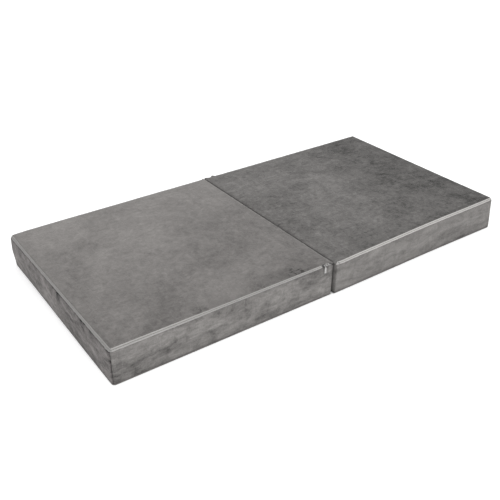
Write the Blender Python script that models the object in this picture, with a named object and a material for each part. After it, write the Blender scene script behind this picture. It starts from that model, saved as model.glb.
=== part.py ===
"""Folding foam play sofa: two square foam pads in zipped covers, joined by a cloth hinge.

Lengths are in metres and +Z is up. The origin is on the floor, under the middle of the crease.
The right pad lies towards +X. The left pad is the same pad turned half a turn about Z, so each
zipper ends at the crease, the left one's slider at the front and the right one's at the back.

A pad is drawn in its own frame: its middle on the floor is the origin, and its hinge side faces -X.
Everything sewn follows the pad's rounded outline. A place on the outline is a number from 0 to 8:
0 to 1 is the front side, 2 to 3 the end, 4 to 5 the back, 6 to 7 the hinge side, and the numbers
between are the corners. A point of a section is an inset from the outline and a height.
"""

import math

import bmesh
import bpy
from mathutils import Vector

# Pads
PAD_LENGTH = 0.709
PAD_WIDTH = 0.711
PAD_HEIGHT = 0.114
CREASE_GAP = 0.004

# Form of a cover
OUTER_RADIUS = 0.012
INNER_RADIUS = 0.008
LEAST_RADIUS = 0.001
CROWN = 0.003
CROWN_RUN = 0.085
SIDE_BULGE = 0.0028
INNER_LEAN = 0.003
BOTTOM_ROLL = 0.005
BOTTOM_REACH = 0.020
HINGE_EDGE = 0.005
PANEL_LIP = 0.0012

# Cloth, seams and fits
CLOTH = 0.0012
CLEARANCE = 0.0003
SEAM_GAP = 0.0003
STRIP_THICKNESS = 0.0010
STRIP_TAIL = 0.005
STRIP_SHORT = 0.0095

# Zipper
ZIP_EDGE = 0.009
TAPE = 0.0008
TAPE_LAP = 0.008
TAPE_START = 0.010
STOP_START = 0.0135
STOP_LENGTH = 0.003
STOP_OVERHANG = 0.0002
STOP_RISE = 0.0004
CHAIN_SLOT = 0.0014
COIL_WIDTH = 0.0024
COIL_HEIGHT = 0.0016
FOAM_RELIEF = 0.0036

# Zipper slider and pull
SLIDER_LENGTH = 0.013
SLIDER_REST = 0.032
SLIDER_PLATE = 0.0012
SLIDER_FLANGE = 0.0009
SLIDER_WEB = 0.0008
BAIL_LENGTH = 0.0095
BAIL_BEND = 0.0012
BAR_RADIUS = 0.0006
RING_PLAY = 0.0004
RING_WALL = 0.0010
RING_WIDTH = 0.0026
PULL_LENGTH = 0.018
PULL_WIDTH = 0.0072
PULL_THICKNESS = 0.0012

# Counts
SIDE_STEPS = 6
PANEL_SIDE_STEPS = 2
CORNER_STEPS = 4
WALL_STEPS = 6
BAR_SIDES = 10
RING_SIDES = 20

# Shares of the sizes that they follow
CROWN_SHARES = (0.0, 0.22, 0.5, 1.0)
COIL_SECTION_SHARES = ((0.0, 0.0), (0.0, 0.6), (0.25, 1.0), (0.75, 1.0), (1.0, 0.6), (1.0, 0.0))
SLIDER_WIDTH_SHARES = ((0.0, 0.86), (0.1, 0.95), (0.25, 1.0), (0.75, 1.0), (0.9, 0.95), (1.0, 0.86))
PULL_ARM_SHARES = ((0.16, 0.34), (0.6, 0.36), (1.0, 0.72))
PULL_TAB_SHARES = ((0.12, 0.95), (0.3, 1.0), (0.8, 1.0), (0.94, 0.9), (1.0, 0.66))

# Places that follow from the sizes above
HALF_LENGTH = PAD_LENGTH / 2
HALF_WIDTH = PAD_WIDTH / 2
BROW = PAD_HEIGHT - CROWN
TAPE_DEPTH = CLOTH + CLEARANCE
TAPE_BACK = TAPE_DEPTH + TAPE
REBATE_DEPTH = TAPE_BACK + CLEARANCE
REBATE_END = SIDE_BULGE + ZIP_EDGE + TAPE_LAP + CLEARANCE
FOAM_EDGE = ZIP_EDGE + FOAM_RELIEF
LAP_FOOT = BROW - ZIP_EDGE - TAPE_LAP
COIL_BASE = CLEARANCE - TAPE_DEPTH
COIL_TOP = COIL_BASE + COIL_HEIGHT
CHAIN_HALF = CHAIN_SLOT / 2 + COIL_WIDTH
PLATE_UNDER = COIL_TOP + CLEARANCE
PLATE_TOP = PLATE_UNDER + SLIDER_PLATE
LOWER_PLATE_TOP = -TAPE_BACK - CLEARANCE
SLIDER_HALF_WIDTH = CHAIN_HALF + CLEARANCE + SLIDER_FLANGE
RING_INNER = BAR_RADIUS + RING_PLAY
RING_OUTER = RING_INNER + RING_WALL
BAR_HEIGHT = PLATE_TOP + CLEARANCE + RING_OUTER
FOLD_AXIS_HEIGHT = PAD_HEIGHT + CLEARANCE
MITRE = math.tan(math.radians(22.5))
SLOT_DROP = CLOTH * MITRE + 2 * CLEARANCE + STRIP_THICKNESS

FRONT = -1
BACK = 1
UP = Vector((0, 1))
UP_AND_IN = Vector((1, 1)).normalized()
UP_AND_OUT = Vector((-1, 1)).normalized()
CORNERS = (
    (1, -1, OUTER_RADIUS),
    (1, 1, OUTER_RADIUS),
    (-1, 1, INNER_RADIUS),
    (-1, -1, INNER_RADIUS),
)


def mix(start, end, share):
    """Return the value that lies at a share of the way from start to end."""
    return start + (end - start) * share


def corner_point(corner, inset, share):
    """Return the plan point at a share of a rounded corner, that far in from the outline."""
    side_x, side_y, radius = CORNERS[corner % 4]
    bend = max(radius - inset, LEAST_RADIUS)
    centre = Vector((side_x * (HALF_LENGTH - inset - bend), side_y * (HALF_WIDTH - inset - bend)))
    angle = math.radians(90) * (corner % 4 - 1 + share)
    return centre + bend * Vector((math.cos(angle), math.sin(angle)))


def plan_point(place, inset):
    """Return the plan point at a place on the outline, that far in from it."""
    place %= 8
    corner = int(place // 2)
    share = place - 2 * corner
    if share > 1:
        return corner_point(corner, inset, share - 1)
    start = corner_point(corner - 1, inset, 1)
    end = corner_point(corner, inset, 0)
    return mix(start, end, share)


def lift(place, point):
    """Return the solid point for a section's inset and height at a place on the outline."""
    plan = plan_point(place, point.x)
    return Vector((plan.x, plan.y, point.y))


def square_point(side, reach, point):
    """Return the solid point for a section cut square to the front or back side.

    reach is the distance from the hinge side, measured along the pad's length.
    """
    return Vector((reach - HALF_LENGTH, side * (HALF_WIDTH - point.x), point.y))


def places(start, end, side_steps):
    """Return places from start to end, with each side and corner cut into even steps."""
    found = {start, end}
    for stretch in range(math.floor(start), math.ceil(end)):
        steps = CORNER_STEPS if stretch % 2 else side_steps
        found.update(stretch + step / steps for step in range(steps + 1))
    return sorted(place for place in found if start <= place <= end)


def seam_share(radius):
    """Return half a seam's gap as a share of a corner of that radius."""
    return SEAM_GAP / (math.pi * radius)


def hinge_share(place):
    """Return 1 on the hinge side, 0 on the three zipped sides, and an even change between."""
    place %= 8
    share = min(max(place - 5, 0), 1) if place < 6.5 else min(max(8 - place, 0), 1)
    return share * share * (3 - 2 * share)


def swell_share(place):
    """Return how much a side swells at a place: 1 at its middle and 0 at its corners."""
    place %= 8
    if place >= 5 or int(place) % 2:
        return 0
    return 1 - (2 * (place % 1) - 1) ** 4


def head_inset(place):
    """Return the inset of a side's upper end."""
    return mix(SIDE_BULGE, 0, hinge_share(place))


def edge_width(place):
    """Return the run of the bevel between the side and the top."""
    return mix(ZIP_EDGE, HINGE_EDGE, hinge_share(place))


def foot_inset(place):
    """Return the inset of a side's lower end."""
    return mix(SIDE_BULGE, INNER_LEAN, hinge_share(place))


def wall_inset(place, height, swell):
    """Return the inset of a side's face at a height, where it swells by that much at its middle."""
    share = (height - BOTTOM_ROLL) / (BROW - edge_width(place) - BOTTOM_ROLL)
    return mix(foot_inset(place), head_inset(place), share) - swell * 4 * share * (1 - share)


def crown_height(place, inset):
    """Return the height of the top at an inset."""
    start = head_inset(place) + edge_width(place) + PANEL_LIP
    share = min(max((inset - start) / (CROWN_RUN - start), 0), 1)
    return BROW + CROWN * (1 - (1 - share) ** 2)


def offset_path(points, depth, before=None, after=None):
    """Return the path moved into the pad by a depth, with mitred bends.

    before and after are the directions of the sheets that it meets at its ends, for mitred seams.
    """
    runs = [(end - start).normalized() for start, end in zip(points, points[1:])]
    runs.insert(0, runs[0] if before is None else before)
    runs.append(runs[-1] if after is None else after)
    moved = []
    for point, run, following in zip(points, runs, runs[1:]):
        first = Vector((run.y, -run.x))
        second = Vector((following.y, -following.x))
        moved.append(point + (first + second) * (depth / (1 + first.dot(second))))
    return moved


def sheet_section(path, thickness, before=None, after=None):
    """Return the closed section of a sheet whose outer face follows the path."""
    return path + offset_path(path, thickness, before, after)[::-1]


def loft_mesh(name, sections, closed=False):
    """Return a mesh that joins like sections in a row, with flat ends or as a closed ring."""
    mesh = bmesh.new()
    loops = [[mesh.verts.new(point) for point in section] for section in sections]
    pairs = list(zip(loops, loops[1:]))
    if closed:
        pairs.append((loops[-1], loops[0]))
    else:
        mesh.faces.new(loops[0])
        mesh.faces.new(loops[-1])
    for first, second in pairs:
        for index in range(len(first)):
            following = (index + 1) % len(first)
            mesh.faces.new((first[index], first[following], second[following], second[index]))
    bmesh.ops.recalc_face_normals(mesh, faces=mesh.faces)
    data = bpy.data.meshes.new(name)
    mesh.to_mesh(data)
    mesh.free()
    data.shade_smooth()
    data.set_sharp_from_angle(angle=math.radians(32))
    return data


def fused_mesh(name, meshes):
    """Return one mesh that is the union of overlapping ones."""
    shapes = [bpy.data.objects.new(name, mesh) for mesh in meshes]
    for shape in shapes:
        bpy.context.collection.objects.link(shape)
    for shape in shapes[1:]:
        union = shapes[0].modifiers.new("union", "BOOLEAN")
        union.operation = "UNION"
        union.object = shape
    evaluated = shapes[0].evaluated_get(bpy.context.evaluated_depsgraph_get())
    fused = bpy.data.meshes.new_from_object(evaluated)
    for shape in shapes:
        bpy.data.objects.remove(shape)
    for mesh in meshes:
        bpy.data.meshes.remove(mesh)
    fused.name = name
    return fused


def make_material(name, colour, roughness, metallic):
    """Return a Principled material of one colour."""
    material = bpy.data.materials.new(name)
    material.use_nodes = True
    shader = material.node_tree.nodes["Principled BSDF"]
    shader.inputs["Base Color"].default_value = (*colour, 1)
    shader.inputs["Roughness"].default_value = roughness
    shader.inputs["Metallic"].default_value = metallic
    return material


def bottom_panel():
    """Return the bottom panel, flat on the floor and rolled up to the lower seam."""
    rounds = places(0, 8, PANEL_SIDE_STEPS)[:-1]
    outer = []
    for place in rounds:
        foot = foot_inset(place)
        outer.append([
            Vector((foot + BOTTOM_ROLL + BOTTOM_REACH, 0)),
            Vector((foot + BOTTOM_ROLL, 0)),
            Vector((foot, BOTTOM_ROLL)) - UP_AND_OUT * (SEAM_GAP / 2),
        ])
    inner = [offset_path(path, CLOTH, after=UP) for path in outer]
    return panel_mesh("bottom_panel", rounds, outer, inner)


def top_panel():
    """Return the top panel: crowned, with a turned-down flap along the hinge side only."""
    seam = seam_share(INNER_RADIUS)
    rounds = places(0, 5, PANEL_SIDE_STEPS) + places(5 + seam, 8 - seam, PANEL_SIDE_STEPS)
    outer = []
    inner = []
    for place in rounds:
        head = head_inset(place)
        edge = edge_width(place)
        flap = place > 5
        bend = Vector((head + edge, BROW))
        if flap:
            path = [Vector((head, BROW - edge)) + UP_AND_IN * (SEAM_GAP / 2), bend]
        else:
            path = [bend, bend + Vector((PANEL_LIP / 2, 0))]
        insets = [mix(head + edge + PANEL_LIP, CROWN_RUN, share) for share in CROWN_SHARES]
        path += [Vector((inset, crown_height(place, inset))) for inset in insets]
        outer.append(path[::-1])
        inner.append(offset_path(path, CLOTH, before=UP if flap else None)[::-1])
    return panel_mesh("top_panel", rounds, outer, inner)


def rings(rounds, paths):
    """Return one ring of solid points for each step of the paths at those places."""
    steps = range(len(paths[0]))
    return [[lift(place, path[step]) for place, path in zip(rounds, paths)] for step in steps]


def panel_mesh(name, rounds, outer, inner):
    """Return a panel from the paths of its two faces, each from its flat middle to its rim."""
    return loft_mesh(name, rings(rounds, outer) + rings(rounds, inner)[::-1])


def side_band(name, first_corner, start, end):
    """Return the band of one side, from the seam in one corner to the seam in the next."""
    first = start + seam_share(CORNERS[first_corner % 4][2])
    last = end - seam_share(CORNERS[(first_corner + 1) % 4][2])
    sections = []
    for place in places(first, last, SIDE_STEPS):
        drop = mix(SEAM_GAP / 2, SLOT_DROP, hinge_share(place)) if place % 8 > 5 else 0
        low = BOTTOM_ROLL + SEAM_GAP / 2
        high = BROW - edge_width(place) - drop
        heights = [mix(low, high, step / WALL_STEPS) for step in range(WALL_STEPS + 1)]
        swell = SIDE_BULGE * swell_share(place)
        path = [Vector((wall_inset(place, height, swell), height)) for height in heights]
        section = sheet_section(path, CLOTH, UP_AND_OUT, UP_AND_IN)
        sections.append([lift(place, point) for point in section])
    return loft_mesh(name, sections)


def foam_core():
    """Return the foam slab: a straight-sided block with a bevel and a rebate behind the zipper."""
    rounds = places(0, 8, PANEL_SIDE_STEPS)[:-1]
    return loft_mesh("foam_core", rings(rounds, [foam_path(place) for place in rounds]))


def foam_path(place):
    """Return the foam's outline at a place, from its flat underside to its flat top."""
    foot = foot_inset(place)
    head = head_inset(place)
    rebate_foot = LAP_FOOT - 3 * CLEARANCE
    cover = [
        Vector((foot + BOTTOM_ROLL + BOTTOM_REACH, 0)),
        Vector((foot + BOTTOM_ROLL, 0)),
        Vector((foot, BOTTOM_ROLL)),
        Vector((wall_inset(place, rebate_foot, 0), rebate_foot)),
    ]
    rise = REBATE_END + 2 * CLEARANCE
    insets = [mix(rise, CROWN_RUN, share) for share in CROWN_SHARES]
    return offset_path(cover, TAPE_DEPTH) + [
        Vector((head + REBATE_DEPTH, rebate_foot + 2 * CLEARANCE)),
        Vector((head + REBATE_DEPTH, BROW - FOAM_EDGE)),
        Vector((head + FOAM_EDGE, BROW - REBATE_DEPTH)),
        Vector((REBATE_END, BROW - REBATE_DEPTH)),
    ] + [Vector((inset, crown_height(place, inset) - TAPE_DEPTH)) for inset in insets]


def zip_point(across, out):
    """Return the section point on the zipped bevel.

    across runs up the bevel from its middle, and out runs off its face.
    """
    middle = Vector((SIDE_BULGE + ZIP_EDGE / 2, BROW - ZIP_EDGE / 2))
    return middle + UP_AND_IN * across + UP_AND_OUT * out


def zip_run(name, section, start, end):
    """Return a section swept along the zipped sides, from start at the front to end at the back."""
    rows = [[square_point(FRONT, start, point) for point in section]]
    for place in places(1, 2, 1) + places(3, 4, 1):
        rows.append([lift(place, point) for point in section])
    rows.append([square_point(BACK, end, point) for point in section])
    return loft_mesh(name, rows)


def top_tape():
    """Return the tape that is sewn under the top panel's rim."""
    bend = TAPE_DEPTH * MITRE
    head = SIDE_BULGE + ZIP_EDGE
    path = [
        zip_point(CHAIN_SLOT / 2, -TAPE_DEPTH),
        Vector((head + bend, BROW - TAPE_DEPTH)),
        Vector((head + TAPE_LAP, BROW - TAPE_DEPTH)),
    ]
    return zip_run("zip_top_tape", sheet_section(path, TAPE), TAPE_START, TAPE_START)


def side_tape():
    """Return the tape that is sewn behind the upper rims of the side bands."""
    bend = TAPE_DEPTH * MITRE
    path = [
        Vector((SIDE_BULGE + TAPE_DEPTH, LAP_FOOT)),
        Vector((SIDE_BULGE + TAPE_DEPTH, BROW - ZIP_EDGE - bend)),
        zip_point(-CHAIN_SLOT / 2, -TAPE_DEPTH),
    ]
    return zip_run("zip_side_tape", sheet_section(path, TAPE), TAPE_START, TAPE_START)


def coil_row(name, side):
    """Return one row of the chain, on the tape above (1) or below (-1) the slot."""
    section = []
    for across_share, out_share in COIL_SECTION_SHARES:
        across = side * (CHAIN_SLOT / 2 + COIL_WIDTH * across_share)
        section.append(zip_point(across, COIL_BASE + COIL_HEIGHT * out_share))
    start = STOP_START + STOP_LENGTH + CLEARANCE
    return zip_run(name, section, start, start)


def zip_stop(name, side):
    """Return the small block that bridges both rows at the chain's front or back end."""
    wide = CHAIN_HALF + STOP_OVERHANG
    top = COIL_TOP + STOP_RISE
    narrow = CHAIN_HALF - STOP_RISE
    outline = [(-wide, COIL_BASE), (-wide, COIL_TOP), (-narrow, top), (narrow, top)]
    outline += [(wide, COIL_TOP), (wide, COIL_BASE)]
    section = [zip_point(across, out) for across, out in outline]
    ends = (STOP_START, STOP_START + STOP_LENGTH)
    return loft_mesh(name, [[square_point(side, end, point) for point in section] for end in ends])


def slider_body():
    """Return the slider's plates, flanges and web as one loft along the chain.

    Y runs down the bevel and Z runs off its face, from the middle of the bevel.
    """
    web = SLIDER_WEB / 2
    flange = CHAIN_HALF + CLEARANCE
    foot = LOWER_PLATE_TOP - SLIDER_PLATE
    sections = []
    for along_share, width_share in SLIDER_WIDTH_SHARES:
        wide = SLIDER_HALF_WIDTH * width_share
        half = [(wide, PLATE_TOP), (wide, COIL_BASE), (flange, COIL_BASE), (flange, PLATE_UNDER)]
        half += [(web, PLATE_UNDER), (web, LOWER_PLATE_TOP), (wide, LOWER_PLATE_TOP), (wide, foot)]
        outline = half + [(-across, out) for across, out in half[::-1]]
        along = SLIDER_LENGTH * (along_share - 0.5)
        sections.append([Vector((along, across, out)) for across, out in outline])
    return loft_mesh("slider_body", sections)


def slider_bail():
    """Return the bail: a round bar along the slider, on a leg at each end."""
    half = BAIL_LENGTH / 2
    foot = PLATE_TOP - SLIDER_PLATE / 2
    route = [
        Vector((-half, 0, foot)),
        Vector((-half, 0, BAR_HEIGHT - BAIL_BEND)),
        Vector((BAIL_BEND - half, 0, BAR_HEIGHT)),
        Vector((half - BAIL_BEND, 0, BAR_HEIGHT)),
        Vector((half, 0, BAR_HEIGHT - BAIL_BEND)),
        Vector((half, 0, foot)),
    ]
    sections = []
    for index, point in enumerate(route):
        before = (point - route[max(index - 1, 0)]).normalized()
        after = (route[min(index + 1, len(route) - 1)] - point).normalized()
        along = (before + after).normalized()
        off = Vector((-along.z, 0, along.x))
        section = []
        for step in range(BAR_SIDES):
            angle = math.tau * step / BAR_SIDES
            spread = off * math.cos(angle) + Vector((0, math.sin(angle), 0))
            section.append(point + BAR_RADIUS * spread)
        sections.append(section)
    return loft_mesh("slider_bail", sections)


def pull_ring():
    """Return the ring that goes round the bail's bar, centred on the bar."""
    half = RING_WIDTH / 2
    rectangle = [(-half, RING_INNER), (half, RING_INNER), (half, RING_OUTER), (-half, RING_OUTER)]
    sections = []
    for step in range(RING_SIDES):
        angle = math.tau * step / RING_SIDES
        around = Vector((0, math.cos(angle), math.sin(angle)))
        sections.append([Vector((along, 0, 0)) + around * radius for along, radius in rectangle])
    return loft_mesh("pull_ring", sections, closed=True)


def pull_tab():
    """Return the tab: an arm over the slider's edge, then a flat tongue that hangs straight down."""
    bar_inset = SIDE_BULGE + ZIP_EDGE / 2 - BAR_HEIGHT * math.sqrt(0.5)
    arm = (bar_inset + CLEARANCE + PULL_THICKNESS / 2) * math.sqrt(2)
    down = Vector((0, math.sqrt(0.5), -math.sqrt(0.5)))
    route = [(Vector((0, arm * share, 0)), width_share) for share, width_share in PULL_ARM_SHARES]
    knee = Vector((0, arm, 0))
    route += [(knee + down * PULL_LENGTH * share, width_share) for share, width_share in PULL_TAB_SHARES]
    sections = []
    for index, (point, width_share) in enumerate(route):
        before = (point - route[max(index - 1, 0)][0]).normalized()
        after = (route[min(index + 1, len(route) - 1)][0] - point).normalized()
        along = (before + after).normalized()
        off = Vector((0, -along.z, along.y)) * (PULL_THICKNESS / 2)
        side = Vector((PULL_WIDTH * width_share / 2, 0, 0))
        sections.append([point - side - off, point + side - off, point + side + off, point - side + off])
    return loft_mesh("pull_tab", sections)


def hinge_strip():
    """Return the cloth strip: it comes out of one cover, hangs in the crease and enters the other.

    Its loop is as long as the way from seam to seam when the pads are folded together.
    """
    seam_height = BROW - HINGE_EDGE - SLOT_DROP + CLEARANCE + STRIP_THICKNESS / 2
    bend = CREASE_GAP / 2 - CLEARANCE - STRIP_THICKNESS / 2
    leg = FOLD_AXIS_HEIGHT - seam_height - math.pi * bend / 2
    low = seam_height - leg
    route = [Vector((CREASE_GAP / 2 + STRIP_TAIL, seam_height)), Vector((bend, seam_height))]
    for step in range(9):
        angle = math.pi * step / 8
        route.append(Vector((bend * math.cos(angle), low - bend * math.sin(angle))))
    route += [Vector((-bend, seam_height)), Vector((-CREASE_GAP / 2 - STRIP_TAIL, seam_height))]
    half = STRIP_THICKNESS / 2
    section = offset_path(route, half) + offset_path(route, -half)[::-1]
    ends = (STRIP_SHORT - HALF_WIDTH, HALF_WIDTH - STRIP_SHORT)
    return loft_mesh("hinge_strip", [[Vector((p.x, end, p.y)) for p in section] for end in ends])


def add_empty(name, location, turn=0.0, parent=None):
    """Add an empty that carries pieces."""
    empty = bpy.data.objects.new(name, None)
    empty.location = location
    empty.rotation_euler.z = turn
    empty.parent = parent
    bpy.context.collection.objects.link(empty)
    return empty


def add_piece(name, mesh, material, parent, location=(0, 0, 0), tilt=0.0):
    """Add one piece under its parent."""
    piece = bpy.data.objects.new(name, mesh)
    if not mesh.materials:
        mesh.materials.append(material)
    piece.parent = parent
    piece.location = location
    piece.rotation_euler.x = tilt
    bpy.context.collection.objects.link(piece)
    return piece


def pad_meshes():
    """Return the still meshes of a pad, by the name of the piece on the right pad."""
    return {
        "foam_core": foam_core(),
        "top_panel": top_panel(),
        "bottom_panel": bottom_panel(),
        "front_band": side_band("front_band", 3, 7.5, 9.5),
        "end_band": side_band("end_band", 0, 1.5, 3.5),
        "back_band": side_band("back_band", 1, 3.5, 5.5),
        "inner_band": side_band("inner_band", 2, 5.5, 7.5),
        "zip_top_tape": top_tape(),
        "zip_side_tape": side_tape(),
        "zip_top_coil": coil_row("zip_top_coil", 1),
        "zip_side_coil": coil_row("zip_side_coil", -1),
        "zip_start_stop": zip_stop("zip_start_stop", FRONT),
        "zip_end_stop": zip_stop("zip_end_stop", BACK),
    }


def turned_name(name):
    """Return a piece's name on the left pad, where the half turn swaps front and back."""
    swapped = {"front_band": "back_band", "back_band": "front_band"}
    return swapped.get(name, name)


def build():
    """Build the play sofa."""
    velour = make_material("velour", (0.19, 0.184, 0.178), 0.9, 0.0)
    foam = make_material("foam", (0.72, 0.66, 0.5), 0.95, 0.0)
    webbing = make_material("webbing", (0.4, 0.39, 0.38), 0.8, 0.0)
    nylon = make_material("nylon", (0.46, 0.45, 0.44), 0.45, 0.0)
    metal = make_material("metal", (0.62, 0.61, 0.6), 0.35, 1.0)
    finishes = {"foam_core": foam, "zip_top_tape": webbing, "zip_side_tape": webbing}
    finishes.update({"zip_top_coil": nylon, "zip_side_coil": nylon})
    finishes.update({"zip_start_stop": metal, "zip_end_stop": metal})

    pad_middle = CREASE_GAP / 2 + HALF_LENGTH
    right_half = add_empty("right_half", (pad_middle, 0, 0))
    fold_axis = add_empty("fold_axis", (0, 0, FOLD_AXIS_HEIGHT))
    left_half = add_empty("left_half", (-pad_middle, 0, -FOLD_AXIS_HEIGHT), math.pi, fold_axis)
    for name, mesh in pad_meshes().items():
        finish = finishes.get(name, velour)
        add_piece("right_" + name, mesh, finish, right_half)
        add_piece("left_" + turned_name(name), mesh, finish, left_half)

    slider = fused_mesh("zip_slider", [slider_body(), slider_bail()])
    pull = fused_mesh("zip_pull", [pull_ring(), pull_tab()])
    bevel_middle = zip_point(0, 0)
    seat = square_point(BACK, SLIDER_REST, bevel_middle)
    for prefix, half in (("right_", right_half), ("left_", left_half)):
        body = add_piece(prefix + "zip_slider", slider, metal, half, seat, math.radians(-45))
        add_piece(prefix + "zip_pull", pull, metal, body, (0, 0, BAR_HEIGHT))
    add_piece("hinge_strip", hinge_strip(), velour, None)


for leftover in list(bpy.data.objects):
    bpy.data.objects.remove(leftover)
build()
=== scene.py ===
"""Looks of the folding foam play sofa: velour covers, foam slabs, zippers and the cloth hinge.

Lengths are in metres. A pad is drawn in its own frame: its middle on the floor is the origin and
its hinge side faces -X. The right pad is moved into place, and the left pad is turned half a turn
about Z. A place on a pad's outline is a number from 0 to 8: 0 to 1 is the front side, 2 to 3 the
end, 4 to 5 the back, 6 to 7 the hinge side, and the numbers between are the corners. An inset is
the distance in from the outline. The sizes repeat those of the solids.
"""

import math

import bmesh
import bpy
import numpy as np
from bpy.props import FloatProperty, FloatVectorProperty, PointerProperty
from mathutils import Matrix, Vector


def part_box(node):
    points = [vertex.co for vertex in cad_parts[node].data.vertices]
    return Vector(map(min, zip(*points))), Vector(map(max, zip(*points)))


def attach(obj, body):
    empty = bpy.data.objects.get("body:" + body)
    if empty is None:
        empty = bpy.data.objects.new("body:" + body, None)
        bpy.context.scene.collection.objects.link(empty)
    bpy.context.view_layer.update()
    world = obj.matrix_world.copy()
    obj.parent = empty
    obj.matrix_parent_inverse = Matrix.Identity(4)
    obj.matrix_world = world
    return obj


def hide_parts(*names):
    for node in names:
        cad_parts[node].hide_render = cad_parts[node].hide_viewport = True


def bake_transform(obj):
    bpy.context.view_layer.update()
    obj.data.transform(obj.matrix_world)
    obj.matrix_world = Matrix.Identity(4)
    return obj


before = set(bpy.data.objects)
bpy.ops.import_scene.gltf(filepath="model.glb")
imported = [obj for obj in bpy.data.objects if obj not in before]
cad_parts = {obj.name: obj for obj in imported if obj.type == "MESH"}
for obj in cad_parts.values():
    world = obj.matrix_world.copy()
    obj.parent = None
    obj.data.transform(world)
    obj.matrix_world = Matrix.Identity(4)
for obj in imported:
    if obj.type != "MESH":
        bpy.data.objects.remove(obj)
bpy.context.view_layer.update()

bl_info = {
    "name": "Folding foam play sofa",
    "version": (1, 0, 0),
    "blender": (4, 5, 0),
    "location": "View3D > Sidebar > Play sofa",
    "description": "Dresses the solids of a folding foam play sofa in velour, zippers and foam",
    "category": "Object",
}

# Pads, as in the solids
HALVES = ("left", "right")
PAD_LENGTH = 0.709
PAD_WIDTH = 0.711
PAD_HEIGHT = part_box("right_top_panel")[1].z
PAD_CENTRE = 0.3565
HALF_LENGTH = PAD_LENGTH / 2
HALF_WIDTH = PAD_WIDTH / 2
CREASE_GAP = 0.004
OUTER_RADIUS = 0.012
INNER_RADIUS = 0.004
CORNER_SIDE_X = np.array((1, 1, -1, -1))
CORNER_SIDE_Y = np.array((-1, 1, 1, -1))
CORNER_RADIUS = np.array((OUTER_RADIUS, OUTER_RADIUS, INNER_RADIUS, INNER_RADIUS))
CROWN = 0.003
CROWN_RUN = 0.085
CROWN_EASE = 0.016
BROW = PAD_HEIGHT - CROWN
SIDE_BULGE = 0.0028
INNER_LEAN = 0.003
BOTTOM_ROLL = 0.005
BOTTOM_ROOM = 0.0004
HINGE_EDGE = 0.005
CLOTH = 0.0012
CLEARANCE = 0.0003

# Zippers, as in the solids
ZIP_EDGE = 0.009
TAPE = 0.0008
TAPE_LAP = 0.008
TAPE_START = 0.0035
TAPE_DEPTH = CLOTH + CLEARANCE
CHAIN_SLOT = 0.0014
CHAIN_START = 0.0168
COIL_WIDTH = 0.0024
COIL_HEIGHT = 0.0016
COIL_BASE = CLEARANCE - TAPE_DEPTH
WEB_ROOM = 0.00045
STOP_START = 0.0132
STOP_LENGTH = 0.0032
STOP_HALF_WIDTH = 0.0035
STOP_BEVEL = 0.0007
STOP_SIDES = {"left": 1, "right": -1}
ROOT = math.sqrt(0.5)
MITRE = math.tan(math.radians(22.5))

# Hinge strip
STRIP_THICKNESS = 0.0010
STRIP_TAIL = 0.005
STRIP_SHORT = 0.0095
STRIP_DIP = 0.0050
STRIP_BEND = 0.0006
STRIP_KNEE = 0.0004
SLOT_DROP = CLOTH * MITRE + 2 * CLEARANCE + STRIP_THICKNESS
FOLD_AXIS_HEIGHT = PAD_HEIGHT + CLEARANCE

# How the soft corners away from the sliders draw in and sink
CORNER_RUN = {"left": 0.030, "right": 0.100}
CORNER_DRAW = {"left": 0.0022, "right": 0.0015}
CORNER_SINK = {"left": 0.0030, "right": -0.0020}
FOOT_DRAW = {"left": 0.0055, "right": 0.0}
FOOT_RUN = 0.30
FOOT_RISE = 0.6

# How the outer corners are rounded off in plan, in front and at the back, and the foam behind them
TIP_DRAW = (0.0024, 0.0052)
TIP_RUN = (0.020, 0.0125)
TIP_ROOM = 0.002

# Cut of the right cover, which is a little longer in front along the crease
SKEW = 0.0105
SKEW_AT_FOOT = 0.3
SKEW_BACK = 0.002
SKEW_RUN = 0.48
SAG = 0.0030
SAG_RUN = 0.10
CURL = 0.0060
CURL_RUN = 0.014

# Fineness of the cloth and the foam
SIDE_CELLS = 88
FOAM_CELLS = 24
CORNER_CELLS = 6
CELL = 0.0075
ZIP_CELL = 0.006
TEETH_CELL = 0.004
TAPE_CELL = 0.0012
GRID_INSET = 0.014
FOAM_INSET = 0.024
EDGE_MARKS = (0.0, 0.00035, 0.0008, 0.0015, 0.0026, 0.0045)
LIP_MARKS = (0.0, 0.0002, 0.0005, 0.0009, 0.0014, 0.0019, 0.0023, 0.0027, 0.0031, 0.0035)

# Rolled edges, seams and the lips sewn over the tapes
LIP_RADIUS = 0.0015
LIP_LAP = 0.0018
LIP_BEND = 0.0006
END_LAP = 0.0010
HEM_ROLL = 0.0014
SEAM_ROLL = 0.0026
SEAM_TUCK = 0.0022
STITCH_LINE = 0.0027
STITCH_PITCH = 0.0034
STITCH_LENGTH = 0.0025
STITCH_PRESS = 0.00022
THREAD = 0.00045

# Waves of the cloth: depth, stretch of the height, and shortest and longest wave
BAND_WAVES = (
    (0.0006, 1.6, 0.07, 0.22),
    (0.00016, 0.2, 0.02, 0.06),
    (0.00028, 0.35, 0.011, 0.028),
    (0.00020, 0.3, 0.012, 0.03),
)
MOST_BULGE = 0.0012
END_LOOSENESS = 1.9
TOP_FOLDS = ((0.07, 0.05), (-0.15, -0.03))
TOP_FOLD_DEPTH = 0.00028
MOST_PRESSED = 0.0011

# Roll of the bottom panel, from the floor up to its seam: shares of the run and of the height
BOTTOM_PATH = (
    (1.0, 0.0), (0.35, 0.0), (0.18, 0.05), (0.08, 0.2), (0.03, 0.45), (0.0, 0.8), (0.05, 1.0),
)

# Side bands: name, first corner and starting place; the left pad's are turned half a turn
BANDS = (
    ("front_band", 3, 7.5), ("end_band", 0, 1.5), ("back_band", 1, 3.5), ("inner_band", 2, 5.5),
)
TURNED = {"front_band": "back_band", "back_band": "front_band"}
COVER_SEEDS = (40, 140)

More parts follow.
